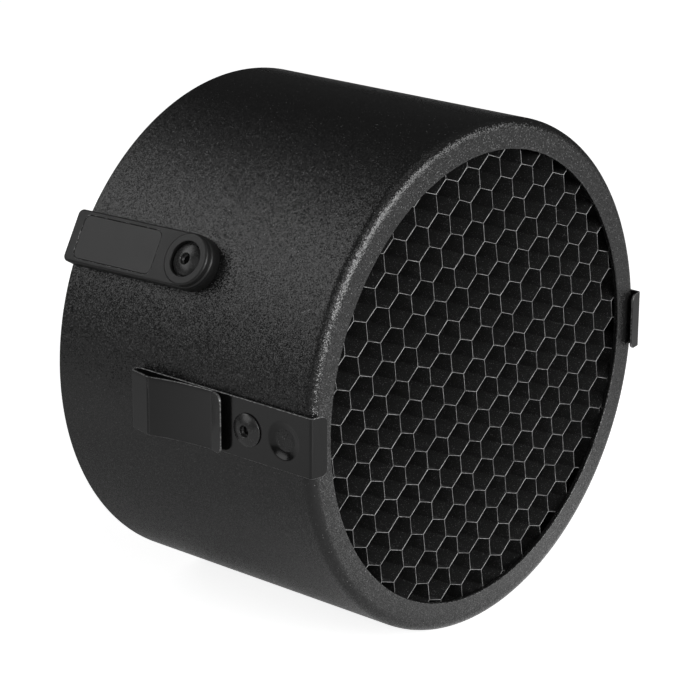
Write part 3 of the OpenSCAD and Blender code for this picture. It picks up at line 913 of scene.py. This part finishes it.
# The studio: a pale floor that fills the frame and keeps the shadow, soft boxes round the
# snoot, and the camera at the front left, a little above.
FLOOR_REACH, FLOOR_GREY, FLOOR_SEEN, WORLD_GLOW = 3000.0, 0.6, 0.86, 0.032
BOX_DISTANCE, BOX_AIM = 1.2, (0, -0.04, 0)
ends = (-FLOOR_REACH, FLOOR_REACH)
floor_corners = np.array([[(x, y, -TUBE_R) for x in ends] for y in ends])
floor = surface("studio_floor", floor_corners, around=False, along=False)

# Pools of light on the floor: how bright, where (x, y), and how far they reach, in mm.
POOLS = (
    (1.00, 56, -110, 110, 110),
    (0.08, -63, -110, 110, 110),
    (0.30, 150, -170, 130, 130),
    (0.80, -140, -250, 80, 60),
    (0.20, -206, 80, 160, 160),
    (0.45, -6, -25, 32, 75),
)


def pool(paint, bright, x, y, reach_x, reach_y):
    """A soft pool of light on the floor: bright at (x, y), 0 outside the ellipse of the two
    reaches, and a smooth step between."""
    off = paint.node(
        "ShaderNodeVectorMath", {"operation": "SUBTRACT"}, {0: paint.place(), 1: (x, y, 0)}
    )
    off = paint.node(
        "ShaderNodeVectorMath",
        {"operation": "MULTIPLY"},
        {0: off, 1: (1 / reach_x, 1 / reach_y, 0)},
    )
    distance = paint.node(
        "ShaderNodeVectorMath", {"operation": "LENGTH"}, {0: off}, output="Value"
    )
    return (1 - distance.ramp(0.0, 1.0)) * bright


def studio_white():
    """Pale matt floor that the camera sees nearly white, shadow and all. Its pools of light,
    in front of the snoot, beside it and below it, show in the glossy paint."""
    white = Finish("studio_white", Roughness=0.9)
    white.set("Base Color", grey(FLOOR_GREY))
    seen = white.node("ShaderNodeLightPath", output="Is Camera Ray")
    glossy = white.node("ShaderNodeLightPath", output="Is Glossy Ray")
    pools = sum(pool(white, *row) for row in POOLS)
    white.set("Emission Color", seen * FLOOR_SEEN + glossy * pools)
    white.set("Emission Strength", 1.0)
    return white


floor.data.materials.append(studio_white().material)

world = bpy.data.worlds.new("studio_world")
bpy.context.scene.world = world
world.use_nodes = True
background = world.node_tree.nodes["Background"]
background.inputs["Color"].default_value = grey(1.0)
background.inputs["Strength"].default_value = WORLD_GLOW


def soft_box(name, azimuth, elevation, side, power):
    """A square soft box that faces the snoot. Azimuth 0 is in front of the lip and +90 at +X."""
    lamp = bpy.data.lights.new(name, "AREA")
    lamp.shape, lamp.size, lamp.size_y, lamp.energy = "RECTANGLE", side, side, power
    box = bpy.data.objects.new(name, lamp)
    a, e = math.radians(azimuth), math.radians(elevation)
    away = Vector((math.sin(a) * math.cos(e), -math.cos(a) * math.cos(e), math.sin(e)))
    box.location = Vector(BOX_AIM) + away * BOX_DISTANCE
    box.rotation_mode = "QUATERNION"
    box.rotation_quaternion = away.to_track_quat("Z", "Y")
    bpy.context.scene.collection.objects.link(box)


# Each box: azimuth and elevation in degrees, its side in metres, and its power in watts.
for name, *box in (
    ("front_box", 0, 15, 0.6, 10.6),
    ("front_left_box", -28, 28, 0.8, 3.2),
    ("front_right_box", 30, 15, 0.6, 5.4),
    ("side_box", -72, 28, 0.8, 0.6),
    ("left_box", -120, 20, 0.6, 1.4),
    ("rear_box", -148, 43, 0.6, 1.55),
    ("rear_low_box", -140, 30, 0.6, 0.7),
    ("back_box", 180, 45, 0.6, 0.3),
    ("top_box", 0, 75, 0.6, 0.75),
):
    soft_box(name, *box)

# The camera: its axes and place in metres, fitted to the ellipse of the aperture.
CAMERA_LENS, SENSOR = 140.5, 36.0
CAMERA_RIGHT = (0.65035, -0.7596, 0.00537)
CAMERA_UP = (0.23909, 0.2114, 0.94772)
CAMERA_BACK = (-0.72103, -0.6151, 0.31909)
CAMERA_AT = (-0.49479, -0.46069, 0.21675)
camera = bpy.data.objects.new("camera", bpy.data.cameras.new("camera"))
bpy.context.scene.collection.objects.link(camera)
camera.data.lens, camera.data.sensor_width = CAMERA_LENS, SENSOR
camera.data.clip_start, camera.data.clip_end = 0.02, 20.0
view = Matrix([CAMERA_RIGHT, CAMERA_UP, CAMERA_BACK]).transposed().to_4x4()
view.translation = Vector(CAMERA_AT)
camera.rotation_mode = "QUATERNION"
camera.matrix_world = view
bpy.context.scene.camera = camera
bpy.context.scene.view_settings.view_transform = "Standard"
